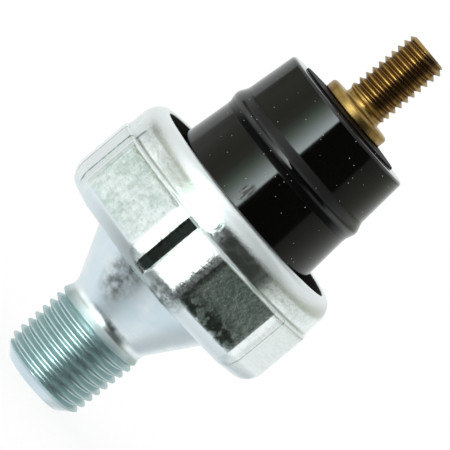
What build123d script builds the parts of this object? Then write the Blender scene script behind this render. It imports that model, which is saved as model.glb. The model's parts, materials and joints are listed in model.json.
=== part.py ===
from build123d import *
import os
from math import cos, radians, tan

# Oil pressure sender: a steel fitting with a tapered pipe thread, a drawn hexagonal shell rolled
# over a black insulator, and a brass terminal stud. Inside, a film diaphragm lifts a sprung
# contact off an earthed ring. Millimetres. The origin is on the axis at the thread's end face,
# and +Z runs along the axis towards the terminal. One corner of the hexagon lies on +X.

# Pressure fitting, outside
thread_face_radius = 3.6        # end face, inside its lead chamfer
thread_crest_radius = 4.9       # crest radius at the end face, before the chamfer
thread_taper = 1 / 32           # radius gained per length
thread_length = 8.4
runout_length = 0.75
neck_radius = 4.87
neck_length = 0.7
neck_blend = 1.2                # hollow round where the neck meets the cone
cone_height = 5.97
cone_top_radius = 8.23
fitting_flange_height = 2.4

# Pressure fitting, inside
port_radius = 2.4
port_depth = 12.0               # to the shoulder that the restrictor seats on
throat_radius = 1.5
restrictor_length = 3.2
restrictor_orifice = 0.5        # radius
restrictor_clearance = 0.02
dish_depth = 0.5
port_chamfer = 0.4

# Hexagonal shell, drawn from sheet
across_flats = 26.7
hex_corner_trim = 1.45          # how far each sharp corner is cut back towards the axis
hex_corner_round = 2.6
hex_height = 7.6
sheet = 1.2
band_step = 0.15                # the round band lies this far inside the flats
foot_round = 2.2
shoulder_chamfer = 0.4
lip_width = 1.8                 # from the band's outside to the rolled lip's edge
lip_round = 1.5
lip_edge_chamfer = 0.25
floor_clearance = 0.1           # between the shell's floor and the fitting's hub
stack_clearance = 0.1           # between the shell's band and the discs inside it

# Stack of discs between the shell's floor and its lip
diaphragm_thickness = 0.25
seal_depth = 1.1
seal_width = 1.6
seal_land = 1.3                 # fitting flange outside the seal's groove
seal_clearance = 0.05
spacer_width = 3.9
contact_ring_thickness = 0.8
gasket_thickness = 0.5
gasket_width = 2.9

# Moving group, which oil pressure lifts
travel = 0.5
stop_clearance = 0.1            # left above the pressure plate at full travel
plate_thickness = 0.8
plate_side_clearance = 1.1
plunger_radius = 2.9
plunger_side_clearance = 0.85   # inside the contact ring's bore
plunger_nub_radius = 1.0
plunger_pin_radius = 1.5
plunger_pin_proud = 0.2
pin_clearance = 0.05
contact_clearance = 0.05        # between the contact points and the ring at rest
contact_thickness = 0.7
contact_boss_radius = 3.0
contact_boss_height = 0.6
contact_rim = 0.2               # of the moving contact, outside its rivets
point_count = 3
point_head_radius = 1.0
point_head_height = 0.4
point_shank_radius = 0.6
point_upset_radius = 0.8
point_upset_height = 0.2
point_inset = 0.25              # from the ring's bore to the nearest edge of a point

# Contact spring
spring_mean_radius = 3.7
spring_wire = 0.6               # diameter
spring_turns = 4.5
spring_sides = 8                # of the wire's section

# Insulator cap, moulded
cap_flange_height = 3.43
cap_barrel_clearance = 2.26     # from the lip's edge to the barrel where it leaves the flange
cap_barrel_height = 13.9
cap_draft = 4.6                 # degrees
cap_top_chamfer = 0.4
cap_bead_place = 7.35           # middle of the bead above the flange
cap_bead_height = 2.0
cap_bead_proud = 0.32
cap_chamber_width = 3.3         # flange left outside the contact chamber
cap_chamber_height = 2.0
cap_wall = 2.6                  # of the barrel's foot, round the spring's chamber
cap_roof = 4.7
pad_margin = 1.72               # from the barrel's top edge to the raised pad under the terminal
pad_height = 0.45
pad_fall = 0.2                  # from the stud's seat to the pad's edge
pad_seat_margin = 0.1           # flat left outside the stud's flange

# Terminal stud, brass
stud_radius = 2.4
stud_thread_length = 7.86
stud_tip_chamfer = 0.5
stud_collar_radius = 2.19
stud_collar_height = 0.62
stud_flange_radius = 3.85
stud_flange_height = 1.13
stud_flange_chamfer = 0.25
stud_shank_radius = 2.2
stud_shank_clearance = 0.05
stud_head_radius = 2.9
stud_head_height = 0.7
washer_thickness = 0.8
washer_width = 1.9

# Heights worked out from the sizes above
thread_top = thread_length
neck_bottom = thread_top + runout_length
neck_top = neck_bottom + neck_length
shell_bottom = neck_top + cone_height
shell_floor = shell_bottom + sheet
hex_top = shell_bottom + hex_height
fitting_top = shell_floor + fitting_flange_height
diaphragm_top = fitting_top + diaphragm_thickness
plate_top = diaphragm_top + plate_thickness
spacer_top = plate_top + travel + stop_clearance
contact_ring_top = spacer_top + contact_ring_thickness
gasket_top = contact_ring_top + gasket_thickness
cap_flange_top = gasket_top + cap_flange_height
lip_top = cap_flange_top + sheet
cap_top = cap_flange_top + cap_barrel_height
pad_top = cap_top + pad_height
roof_bottom = cap_top - cap_roof
washer_bottom = roof_bottom - washer_thickness
point_bottom = contact_ring_top + contact_clearance
contact_bottom = point_bottom + point_head_height
contact_top = contact_bottom + contact_thickness
boss_top = contact_top + contact_boss_height
stud_flange_top = pad_top + stud_flange_height
stud_collar_top = stud_flange_top + stud_collar_height
stud_tip = stud_collar_top + stud_thread_length

# Radii worked out from the sizes above
apothem = across_flats / 2
band_radius = apothem - band_step
lip_radius = band_radius - lip_width
stack_radius = band_radius - sheet - stack_clearance
seal_outer = stack_radius - seal_land
seal_inner = seal_outer - seal_width
spacer_bore = stack_radius - spacer_width
dish_radius = spacer_bore - plate_side_clearance / 2
plate_radius = spacer_bore - plate_side_clearance
contact_ring_bore = plunger_radius + plunger_side_clearance
point_circle = contact_ring_bore + point_inset + point_head_radius
contact_radius = point_circle + point_upset_radius + contact_rim
gasket_bore = stack_radius - gasket_width
cap_chamber_radius = stack_radius - cap_chamber_width
cap_slope = tan(radians(cap_draft))
cap_barrel_radius = lip_radius - cap_barrel_clearance
spring_chamber_radius = cap_barrel_radius - cap_wall
cap_top_radius = cap_barrel_radius - cap_slope * cap_barrel_height
pad_radius = cap_top_radius - pad_margin


def turned(*outline):
    """Solid of revolution about the axis from a closed outline of (radius, height) points."""
    return revolve(Plane.XZ * make_face(Polyline(*outline, close=True)), Axis.Z)


def disc(radius, bottom, top, bore=0.0):
    """Round plate or ring between two heights."""
    plate = Pos(0, 0, bottom) * extrude(Circle(radius), top - bottom)
    if bore > 0:
        plate -= Pos(0, 0, bottom) * extrude(Circle(bore), top - bottom)
    return plate


def rings(solid, radius, height):
    """Circular edges of a turned solid at one radius and height."""
    return [
        edge
        for edge in solid.edges().filter_by(GeomType.CIRCLE)
        if abs(edge.radius - radius) < 0.001 and abs(edge.arc_center.Z - height) < 0.001
    ]


def rounded_hexagon(inset):
    """Outline of the shell's hexagon, moved in by a distance, with a blunt corner on +X."""
    hexagon = RegularPolygon(apothem - inset, 6, major_radius=False)
    trim = hex_corner_trim - inset * (1 / cos(radians(30)) - 1)
    blunt = chamfer(hexagon.vertices(), trim / cos(radians(60)))
    return fillet(blunt.vertices(), hex_corner_round - inset)


def pressure_fitting():
    """Turned steel: tapered thread, neck, cone, hub and clamped flange, with the port through it."""
    lead = (thread_crest_radius - thread_face_radius) / (1 - thread_taper)
    fitting = turned(
        (0, 0),
        (thread_face_radius, 0),
        (thread_face_radius + lead, lead),
        (thread_crest_radius + thread_taper * thread_top, thread_top),
        (neck_radius, neck_bottom),
        (neck_radius, neck_top),
        (cone_top_radius, shell_bottom),
        (cone_top_radius, shell_floor),
        (stack_radius, shell_floor),
        (stack_radius, fitting_top),
        (0, fitting_top),
    )
    fitting = fillet(rings(fitting, neck_radius, neck_top), neck_blend)
    fitting -= disc(port_radius, 0, port_depth)
    fitting -= disc(throat_radius, port_depth, fitting_top)
    fitting -= disc(dish_radius, fitting_top - dish_depth, fitting_top)
    fitting -= disc(
        seal_outer + seal_clearance,
        fitting_top - seal_depth,
        fitting_top,
        bore=seal_inner - seal_clearance,
    )
    return chamfer(rings(fitting, port_radius, 0), port_chamfer)


def port_restrictor():
    """Pressed plug with a fine hole, which damps the oil's pulses."""
    plug = disc(
        port_radius - restrictor_clearance,
        port_depth - restrictor_length,
        port_depth,
        bore=restrictor_orifice,
    )
    mouth = rings(plug, port_radius - restrictor_clearance, port_depth - restrictor_length)
    return chamfer(mouth, port_chamfer)


def hex_shell():
    """Drawn cup, hexagonal below and round above, with its lip rolled in over the insulator."""
    outside = Pos(0, 0, shell_bottom) * extrude(rounded_hexagon(0), hex_height)
    foot = outside.faces().sort_by(Axis.Z)[0].edges()
    outside = fillet(foot, foot_round)
    shoulder = outside.faces().sort_by(Axis.Z)[-1].edges()
    outside = chamfer(shoulder, shoulder_chamfer)
    band = disc(band_radius, hex_top - sheet, lip_top)
    outside += fillet(rings(band, band_radius, lip_top), lip_round)
    inside = Pos(0, 0, shell_floor) * extrude(rounded_hexagon(sheet), hex_height - 2 * sheet)
    inside += disc(band_radius - sheet, shell_floor, cap_flange_top)
    shell = outside - inside
    shell -= disc(cone_top_radius + floor_clearance, shell_bottom, shell_floor)
    shell -= disc(lip_radius, cap_flange_top, lip_top)
    return chamfer(rings(shell, lip_radius, lip_top), lip_edge_chamfer)


def moving_contact():
    """Stamped brass disc with a raised boss for the spring and a hole for the plunger's pin."""
    blank = disc(contact_radius, contact_bottom, contact_top)
    blank += disc(contact_boss_radius, contact_top, boss_top)
    blank -= disc(plunger_pin_radius + pin_clearance, contact_bottom, boss_top)
    hole = disc(point_shank_radius + pin_clearance, contact_bottom, contact_top)
    for place in PolarLocations(point_circle, point_count):
        blank -= place * hole
    return blank


def contact_points():
    """Silver rivets through the moving contact, as separate solids."""
    rivet = disc(point_head_radius, point_bottom, contact_bottom)
    rivet = chamfer(rings(rivet, point_head_radius, point_bottom), point_head_height / 2)
    rivet += disc(point_shank_radius, contact_bottom, contact_top)
    rivet += disc(point_upset_radius, contact_top, contact_top + point_upset_height)
    return Compound([place * rivet.solid() for place in PolarLocations(point_circle, point_count)])


def plunger():
    """Insulating pusher between the pressure plate and the moving contact."""
    return turned(
        (0, diaphragm_top),
        (plunger_nub_radius, diaphragm_top),
        (plunger_nub_radius, plate_top),
        (plunger_radius, plate_top),
        (plunger_radius, contact_bottom),
        (plunger_pin_radius, contact_bottom),
        (plunger_pin_radius, boss_top + plunger_pin_proud),
        (0, boss_top + plunger_pin_proud),
    )


def contact_spring():
    """Compression spring with ground ends, between the moving contact and the stud's washer."""
    length = washer_bottom - contact_top
    path = Helix(length / spring_turns, length, spring_mean_radius)
    section = Plane(path @ 0, z_dir=path % 0) * RegularPolygon(spring_wire / 2, spring_sides)
    wire = sweep(section, path=path)
    outer = spring_mean_radius + spring_wire
    return Pos(0, 0, contact_top) * (wire & disc(outer, 0, length))


def insulator_cap():
    """Black moulding: clamped flange, tapered barrel with a bead round it, and stepped chambers."""
    cap = turned(
        (0, gasket_top),
        (stack_radius, gasket_top),
        (stack_radius, cap_flange_top),
        (cap_barrel_radius, cap_flange_top),
        (cap_top_radius, cap_top),
        (0, cap_top),
    )
    cap = chamfer(rings(cap, cap_top_radius, cap_top), cap_top_chamfer)
    bead_middle = cap_flange_top + cap_bead_place
    bead_radius = cap_barrel_radius - cap_slope * cap_bead_place
    half = cap_bead_height / 2
    low = (bead_radius + cap_slope * half, bead_middle - half)
    high = (bead_radius - cap_slope * half, bead_middle + half)
    crown = ThreePointArc(low, (bead_radius + cap_bead_proud, bead_middle), high)
    back = Polyline(high, (bead_radius - cap_bead_height, bead_middle), low)
    cap += revolve(Plane.XZ * make_face(crown + back), Axis.Z)
    cap += turned(
        (0, cap_top),
        (pad_radius, cap_top),
        (pad_radius, pad_top - pad_fall),
        (stud_flange_radius + pad_seat_margin, pad_top),
        (0, pad_top),
    )
    cap -= disc(cap_chamber_radius, gasket_top, gasket_top + cap_chamber_height)
    cap -= disc(spring_chamber_radius, gasket_top, roof_bottom)
    return cap - disc(stud_shank_radius + stud_shank_clearance, roof_bottom, pad_top)


def terminal_stud():
    """Brass stud: threaded end, collar, flange, shank through the insulator and peened head."""
    head_bottom = washer_bottom - stud_head_height
    stud = turned(
        (0, head_bottom),
        (stud_head_radius, head_bottom),
        (stud_head_radius, washer_bottom),
        (stud_shank_radius, washer_bottom),
        (stud_shank_radius, pad_top),
        (stud_flange_radius, pad_top),
        (stud_flange_radius, stud_flange_top),
        (stud_collar_radius, stud_flange_top),
        (stud_collar_radius, stud_collar_top),
        (stud_radius, stud_collar_top),
        (stud_radius, stud_tip - stud_tip_chamfer),
        (stud_radius - stud_tip_chamfer, stud_tip),
        (0, stud_tip),
    )
    rims = rings(stud, stud_flange_radius, pad_top) + rings(stud, stud_flange_radius, stud_flange_top)
    rims += rings(stud, stud_head_radius, head_bottom)
    return chamfer(rims, stud_flange_chamfer)


parts = {
    "pressure_fitting": pressure_fitting(),
    "port_restrictor": port_restrictor(),
    "seal_ring": disc(seal_outer, fitting_top - seal_depth, fitting_top, bore=seal_inner),
    "hex_shell": hex_shell(),
    "diaphragm": disc(stack_radius, fitting_top, diaphragm_top),
    "spacer_ring": disc(stack_radius, diaphragm_top, spacer_top, bore=spacer_bore),
    "pressure_plate": disc(
        plate_radius, diaphragm_top, plate_top, bore=plunger_nub_radius + pin_clearance
    ),
    "plunger": plunger(),
    "contact_ring": disc(stack_radius, spacer_top, contact_ring_top, bore=contact_ring_bore),
    "moving_contact": moving_contact(),
    "contact_points": contact_points(),
    "contact_spring": contact_spring(),
    "cap_gasket": disc(stack_radius, contact_ring_top, gasket_top, bore=gasket_bore),
    "insulator_cap": insulator_cap(),
    "stud_washer": disc(
        stud_shank_radius + washer_width,
        washer_bottom,
        roof_bottom,
        bore=stud_shank_radius + stud_shank_clearance,
    ),
    "terminal_stud": terminal_stud(),
}

os.makedirs("parts", exist_ok=True)
for name, solid in parts.items():
    export_step(solid, f"parts/{name}.step")
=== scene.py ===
import json
from math import asin, ceil, cos, pi, radians, sin, tan

import bmesh
import bpy
from mathutils import Matrix, Vector


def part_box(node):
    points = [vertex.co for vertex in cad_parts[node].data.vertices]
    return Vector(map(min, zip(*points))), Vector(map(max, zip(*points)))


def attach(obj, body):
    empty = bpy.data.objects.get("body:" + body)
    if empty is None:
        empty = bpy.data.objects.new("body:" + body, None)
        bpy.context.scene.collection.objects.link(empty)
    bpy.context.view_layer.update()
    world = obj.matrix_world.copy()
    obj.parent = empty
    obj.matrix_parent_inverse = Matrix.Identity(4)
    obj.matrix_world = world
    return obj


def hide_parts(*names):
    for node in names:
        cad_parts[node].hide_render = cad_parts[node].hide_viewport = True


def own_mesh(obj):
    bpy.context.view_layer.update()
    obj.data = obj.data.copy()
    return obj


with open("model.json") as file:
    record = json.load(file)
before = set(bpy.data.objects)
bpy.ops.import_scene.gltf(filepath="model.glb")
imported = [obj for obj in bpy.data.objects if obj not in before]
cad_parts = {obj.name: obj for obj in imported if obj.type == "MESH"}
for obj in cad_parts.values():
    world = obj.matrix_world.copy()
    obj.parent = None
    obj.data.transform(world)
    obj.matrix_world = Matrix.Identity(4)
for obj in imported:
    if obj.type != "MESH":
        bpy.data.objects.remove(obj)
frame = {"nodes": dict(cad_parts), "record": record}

bl_info = {
    "name": "Oil Pressure Sender",
    "version": (1, 0, 0),
    "blender": (4, 5, 0),
    "location": "View3D > Sidebar > Sender",
    "description": "Builds the visible pieces of an oil pressure sender round its solids",
    "category": "Object",
}

MM = 0.001
TURN = 2 * pi
# Points closer together than this are merged, and edges that turn more than this stay sharp.
MERGE = 1e-6
SHARP = radians(40)
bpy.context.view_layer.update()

fitting_low, fitting_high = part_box("pressure_fitting")
shell_low, shell_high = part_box("hex_shell")
cap_low, cap_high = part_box("insulator_cap")
stud_low, stud_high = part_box("terminal_stud")
spring_low, spring_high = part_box("contact_spring")
seal_low, seal_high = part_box("seal_ring")
washer_low, washer_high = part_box("stud_washer")


def length(name, default, description):
    """A property for a size in metres."""
    return bpy.props.FloatProperty(
        name=name, default=default, description=description, unit="LENGTH", precision=5
    )


def angle(name, default, description):
    """A property for an angle given in degrees."""
    return bpy.props.FloatProperty(
        name=name, default=radians(default), description=description, subtype="ANGLE"
    )


def tint(name, default, description):
    """A property for a colour."""
    return bpy.props.FloatVectorProperty(
        name=name, default=default, description=description, subtype="COLOR", size=3, min=0, max=1
    )


class FittingSizes(bpy.types.PropertyGroup):
    """Sizes of the turned fitting that its solid's box does not give."""

    pitch: length("Pitch", 0.9407 * MM, "Axial distance between the pipe thread's crests")
    depth: length("Depth", 0.62 * MM, "Crest to root of the pipe thread")
    face_radius: length("Face Radius", 3.6 * MM, "Radius of the thread's end face")
    crest_radius: length("Crest Radius", 4.9 * MM, "Crest radius at the end face")
    thread_top: length("Thread Top", 9.15 * MM, "Height where the run-out meets the neck")
    fade: length("Fade", 1.5 * MM, "Length over which the last groove runs out")
    start: angle("Thread Start", 142.5, "Where the thread starts, in whole steps round it")
    neck_radius: length("Neck Radius", 4.87 * MM, "Radius of the short neck above the thread")
    neck_top: length("Neck Top", 9.85 * MM, "Height where the cone starts")
    cone_radius: length("Cone Radius", 8.23 * MM, "Radius of the cone at the shell")
    port_radius: length("Port Radius", 2.4 * MM, "Radius of the port's bore")
    throat_radius: length("Throat Radius", 1.5 * MM, "Radius of the bore above the restrictor")
    port_depth: length("Port Depth", 12.0 * MM, "Depth of the wide part of the port")
    dish_radius: length("Dish Radius", 7.45 * MM, "Radius of the dish under the diaphragm")
    dish_depth: length("Dish Depth", 0.5 * MM, "Depth of the dish under the diaphragm")
    groove_gap: length("Groove Gap", 0.05 * MM, "Clearance each side of the seal ring")
    seal_width: length("Seal Width", 1.6 * MM, "Width of the seal ring")


class ShellSizes(bpy.types.PropertyGroup):
    """Sizes of the drawn hexagonal shell that its solid's box does not give."""

    sheet: length("Sheet", 1.2 * MM, "Thickness of the drawn sheet")
    corner_trim: length("Corner Trim", 1.45 * MM, "How far each sharp corner is cut back")
    corner_round: length("Corner Round", 2.6 * MM, "Round between a flat and a blunt corner")
    hex_height: length("Hexagon Height", 7.6 * MM, "Height of the hexagonal part")
    foot_round: length("Foot Round", 2.2 * MM, "Round round the underside")
    shoulder_round: length("Shoulder Round", 0.35 * MM, "Round where the hexagon ends")
    band_step: length("Band Step", 0.15 * MM, "Distance from the flats in to the round band")
    band_taper: length("Band Taper", 0.03 * MM, "How far the band leans in from its middle")
    lip_width: length("Lip Width", 1.8 * MM, "From the band's outside to the lip's edge")
    lip_rise: length("Lip Rise", 2.2 * MM, "Height of the rolled lip's round")
    lip_reach: length("Lip Reach", 1.45 * MM, "Width of the rolled lip's round")
    lip_edge: length("Lip Edge", 0.2 * MM, "Round of the lip's inner edge")
    hub_gap: length("Hub Gap", 0.1 * MM, "Clearance round the fitting's hub")


class CapSizes(bpy.types.PropertyGroup):
    """Sizes of the moulded insulator that its solid's box does not give."""

    flange_height: length("Flange Height", 3.43 * MM, "Height of the clamped flange")
    barrel_radius: length("Barrel Radius", 9.14 * MM, "Barrel radius at the flange")
    draft: angle("Draft", 4.6, "Taper of the barrel")
    bead_place: length("Bead Place", 7.42 * MM, "Middle of the bead above the flange")
    bead_height: length("Bead Height", 2.5 * MM, "Height of the bead")
    bead_proud: length("Bead Proud", 0.35 * MM, "How far the bead stands out")
    top_round: length("Top Round", 0.4 * MM, "Round of the barrel's top edge")
    pad_radius: length("Pad Radius", 6.3 * MM, "Radius of the pad under the terminal")
    pad_height: length("Pad Height", 0.45 * MM, "Height of the pad under the terminal")
    pad_fall: length("Pad Fall", 0.2 * MM, "From the stud's seat to the pad's edge")
    seat_radius: length("Seat Radius", 3.95 * MM, "Radius of the flat under the stud")
    chamber_radius: length("Chamber Radius", 8.6 * MM, "Radius of the contact chamber")
    chamber_height: length("Chamber Height", 2.0 * MM, "Height of the contact chamber")
    spring_chamber: length("Spring Chamber", 6.54 * MM, "Radius of the spring's chamber")
    roof: length("Roof", 4.7 * MM, "Thickness of the chamber's roof")
    hole_radius: length("Hole Radius", 2.25 * MM, "Radius of the hole for the stud")


class StudSizes(bpy.types.PropertyGroup):
    """Sizes of the brass stud and the contact spring that their solids' boxes do not give."""

    pitch: length("Pitch", 0.794 * MM, "Axial distance between the stud's crests")
    depth: length("Depth", 0.42 * MM, "Crest to root of the stud's thread")
    radius: length("Radius", 2.4 * MM, "Crest radius of the thread")
    start: angle("Thread Start", -108.75, "Where the thread starts, in whole steps round it")
    thread_length: length("Thread Length", 7.86 * MM, "Length of the threaded end")
    tip_radius: length("Tip Radius", 1.9 * MM, "Radius of the flat tip")
    collar_radius: length("Collar Radius", 2.19 * MM, "Radius of the collar under the thread")
    collar_height: length("Collar Height", 0.62 * MM, "Height of the collar")
    flange_radius: length("Flange Radius", 3.85 * MM, "Radius of the flange")
    flange_height: length("Flange Height", 1.13 * MM, "Thickness of the flange")
    flange_round: length("Flange Round", 0.36 * MM, "Round of the flange's edges")
    collar_blend: length("Collar Blend", 0.35 * MM, "Hollow round under the collar")
    shank_radius: length("Shank Radius", 2.2 * MM, "Radius of the shank in the insulator")
    head_radius: length("Head Radius", 2.9 * MM, "Radius of the peened head")
    wire: length("Spring Wire", 0.6 * MM, "Diameter of the contact spring's wire")
    coils: bpy.props.FloatProperty(
        name="Coils", default=4.5, description="Number of coils of the contact spring"
    )


class Finishes(bpy.types.PropertyGroup):
    """Colours of the finishes."""

    zinc: tint("Zinc", (0.84, 0.88, 0.88), "Zinc plate where it is bright")
    zinc_blue: tint("Blue Zinc", (0.76, 0.84, 0.88), "Zinc plate where it has a bluish film")
    zinc_teal: tint("Teal Zinc", (0.52, 0.64, 0.645), "Zinc plate on the thread")
    zinc_dull: tint("Dull Zinc", (0.34, 0.46, 0.39), "Zinc plate where it is mottled")
    # Dark colour for painted shade and painted dark reflections on the fitting and the shell, and for the
    # shell's other dark marks.
    shade_and_dark_marks: tint("Shade And Dark Marks", (0.07, 0.075, 0.06), "Folds and other dark places of the shell")
    insulator: tint("Insulator", (0.0014, 0.0012, 0.0011), "Black moulding")
    dust: tint("Dust", (0.75, 0.75, 0.72), "Specks and scuffs on the moulding")
    brass: tint("Brass", (0.40, 0.262, 0.082), "Brass where it is clean")
    # Also the painted shade in the thread's roots.
    brass_dull: tint("Dull Brass", (0.20, 0.115, 0.04), "Brass in the roots and stains")
    # Painted dark reflection along the stud's thread.
    brass_dark_reflection: tint("Brass Dark Reflection", (0.07, 0.04, 0.03), "Dark streak along the stud's thread")
    steel: tint("Steel", (0.56, 0.56, 0.55), "Plain steel inside")
    silver: tint("Silver", (0.86, 0.86, 0.84), "Contact points")
    film: tint("Film", (0.66, 0.36, 0.08), "Diaphragm film")
    plunger: tint("Plunger", (0.75, 0.70, 0.58), "Insulating plunger")
    rubber: tint("Rubber", (0.03, 0.03, 0.03), "Seal ring")
    fibre: tint("Fibre", (0.30, 0.27, 0.22), "Gasket")


class Studio(bpy.types.PropertyGroup):
    """The camera's place, lens and roll."""

    distance: length("Distance", 0.33, "From the camera to the point it looks at")
    lens: bpy.props.FloatProperty(name="Lens", default=274, description="Focal length in millimetres")
    azimuth: angle("Azimuth", 0.0, "Round the axis from the corner that faces the camera")
    elevation: angle("Elevation", 5.1, "Above the plane across the axis")
    roll: angle("Roll", 50.25, "Turn of the camera about its own line of sight")
    look_height: length("Look Height", 24.69 * MM, "Height of the point that it looks at")
    slide_right: length("Slide Right", -0.345 * MM, "Camera moved right in its own frame")
    slide_up: length("Slide Up", -0.553 * MM, "Camera moved up in its own frame")


def add_node(tree, kind, inputs, **settings):
    """New node with its settings made, and its named or numbered inputs linked or set."""
    node = tree.nodes.new(kind)
    for setting, value in settings.items():
        setattr(node, setting, value)
    for key, value in inputs.items():
        if isinstance(value, bpy.types.NodeSocket):
            tree.links.new(value, node.inputs[key])
        else:
            node.inputs[key].default_value = value
    return node


class Formula:
    """Adds math nodes to a tree, so that a rule reads as nested calls."""

    def __init__(self, tree):
        self.tree = tree

    def __call__(self, operation, *values):
        """Result of one math operation on the values."""
        inputs = dict(enumerate(values))
        return add_node(self.tree, "ShaderNodeMath", inputs, operation=operation).outputs[0]

    def times(self, first, *others):
        """Product of the values."""
        for other in others:
            first = self("MULTIPLY", first, other)
        return first

    def plus(self, first, *others):
        """Sum of the values."""
        for other in others:
            first = self("ADD", first, other)
        return first

    def most(self, first, *others):
        """Largest of the values."""
        for other in others:
            first = self("MAXIMUM", first, other)
        return first

    def blend(self, value, low, high, start=0.0, end=1.0, smooth=False):
        """Value taken from the range low to high onto start to end, held at both ends."""
        inputs = dict(enumerate((value, low, high, start, end)))
        easing = "SMOOTHSTEP" if smooth else "LINEAR"
        return add_node(self.tree, "ShaderNodeMapRange", inputs, interpolation_type=easing).outputs[0]

    def mix(self, share, first, second):
        """Colour between two colours or colour sockets."""
        inputs = {0: share}
        for key, item in ((6, first), (7, second)):
            inputs[key] = item if isinstance(item, bpy.types.NodeSocket) else (*item, 1)
        return add_node(self.tree, "ShaderNodeMix", inputs, data_type="RGBA").outputs[2]


def put_in_scene(name, data):
    """New object of the scene with the given data."""
    item = bpy.data.objects.new(name, data)
    bpy.context.scene.collection.objects.link(item)
    return item


def tube_grid(tree, rows, around):
    """Unit grid of a tube: its geometry, and the shares along and around it."""
    grid = add_node(tree, "GeometryNodeMeshGrid", {"Vertices X": rows, "Vertices Y": around})
    position = tree.nodes.new("GeometryNodeInputPosition").outputs[0]
    place = add_node(tree, "ShaderNodeSeparateXYZ", {0: position})
    rule = Formula(tree)
    along = rule.plus(place.outputs[0], 0.5)
    return grid.outputs["Mesh"], along, rule.plus(place.outputs[1], 0.5)


def close_tube(tree, mesh, radius, turn, height, material):
    """Place a tube's points, merge its seam and ends, and send it to the tree's output."""
    rule = Formula(tree)
    across = rule.times(radius, rule("COSINE", turn))
    aside = rule.times(radius, rule("SINE", turn))
    spot = add_node(tree, "ShaderNodeCombineXYZ", {"X": across, "Y": aside, "Z": height})
    steps = (
        ("GeometryNodeSetPosition", {"Position": spot.outputs[0]}),
        ("GeometryNodeMergeByDistance", {"Distance": MERGE}),
        ("GeometryNodeRealizeInstances", {}),
        ("GeometryNodeSetMaterial", {"Material": material}),
    )
    for kind, inputs in steps:
        mesh = add_node(tree, kind, {"Geometry": mesh, **inputs}).outputs[0]
    add_node(tree, "NodeGroupOutput", {"Geometry": mesh})


def new_tree(name, numbers, whole_numbers):
    """Geometry node tree with named inputs for its sizes, and the sockets of those inputs."""
    tree = bpy.data.node_groups.new(name, "GeometryNodeTree")
    tree.interface.new_socket("Geometry", in_out="OUTPUT", socket_type="NodeSocketGeometry")
    for label in numbers:
        tree.interface.new_socket(label, in_out="INPUT", socket_type="NodeSocketFloat")
    for label in whole_numbers:
        tree.interface.new_socket(label, in_out="INPUT", socket_type="NodeSocketInt")
    source = tree.nodes.new("NodeGroupInput")
    return tree, {label: source.outputs[label] for label in (*numbers, *whole_numbers)}


def run_tree(tree, values):
    """Mesh that a tree gives for the named input values."""
    holder = put_in_scene(tree.name, bpy.data.meshes.new(tree.name))
    modifier = holder.modifiers.new(tree.name, "NODES")
    modifier.node_group = tree
    for item in tree.interface.items_tree:
        if item.in_out == "INPUT":
            modifier[item.identifier] = values[item.name]
    graph = bpy.context.evaluated_depsgraph_get()
    mesh = bpy.data.meshes.new_from_object(holder.evaluated_get(graph))
    bpy.data.objects.remove(holder)
    return mesh


THREAD_SIZES = (
    "Pitch", "Depth", "Bottom", "Top", "Crest Radius", "Taper", "Bottom Radius", "Top Radius",
    "Bottom Slope", "Top Slope", "Bottom Fade", "Top Fade", "Soften", "Start",
)
# Half of the flat on a thread's crest and in its root, as shares of the pitch, and the rows of
# points in one turn.
CREST_HALF = 0.0625
ROOT_HALF = 0.0625
THREAD_STEPS = 16


def thread_tree(name, material):
    """Tree for a right-handed screw thread round Z that runs out into a plain ring at each end."""
    tree, size = new_tree(name, THREAD_SIZES, ("Turns", "Steps", "Around"))
    rule = Formula(tree)
    spans = rule.plus(size["Turns"], 1)
    rows = rule.plus(rule.times(spans, size["Steps"]), 1)
    mesh, along, around = tube_grid(tree, rows, rule.plus(size["Around"], 1))
    turns = rule("SUBTRACT", rule.times(along, spans), 1)
    lift = rule.times(size["Pitch"], rule.plus(turns, around))
    height = rule.most(size["Bottom"], rule.plus(size["Bottom"], lift))
    height = rule("MINIMUM", size["Top"], height)
    above = rule("SUBTRACT", height, size["Bottom"])
    below = rule("SUBTRACT", size["Top"], height)
    phase = rule("FRACT", rule("SUBTRACT", rule("DIVIDE", above, size["Pitch"]), around))
    distance = rule("ABSOLUTE", rule("SUBTRACT", phase, 0.5))
    groove = rule.times(
        rule.blend(distance, CREST_HALF, 0.5 - ROOT_HALF),
        rule.blend(above, 0, size["Bottom Fade"], smooth=True),
        rule.blend(below, 0, size["Top Fade"], smooth=True),
    )
    crest = rule.plus(size["Crest Radius"], rule.times(size["Taper"], above))
    radius = rule("SUBTRACT", crest, rule.times(size["Depth"], groove))
    lower = rule.plus(size["Bottom Radius"], rule.times(size["Bottom Slope"], above))
    upper = rule.plus(size["Top Radius"], rule.times(size["Top Slope"], below))
    radius = rule("SMOOTH_MIN", radius, lower, size["Soften"])
    radius = rule("SMOOTH_MIN", radius, upper, size["Soften"])
    store = add_node(tree, "GeometryNodeStoreNamedAttribute", {
        "Geometry": mesh, "Name": "groove", "Value": groove,
    })
    turn = rule.plus(rule.times(around, TURN), size["Start"])
    close_tube(tree, store.outputs[0], radius, turn, height, material)
    return tree


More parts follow.
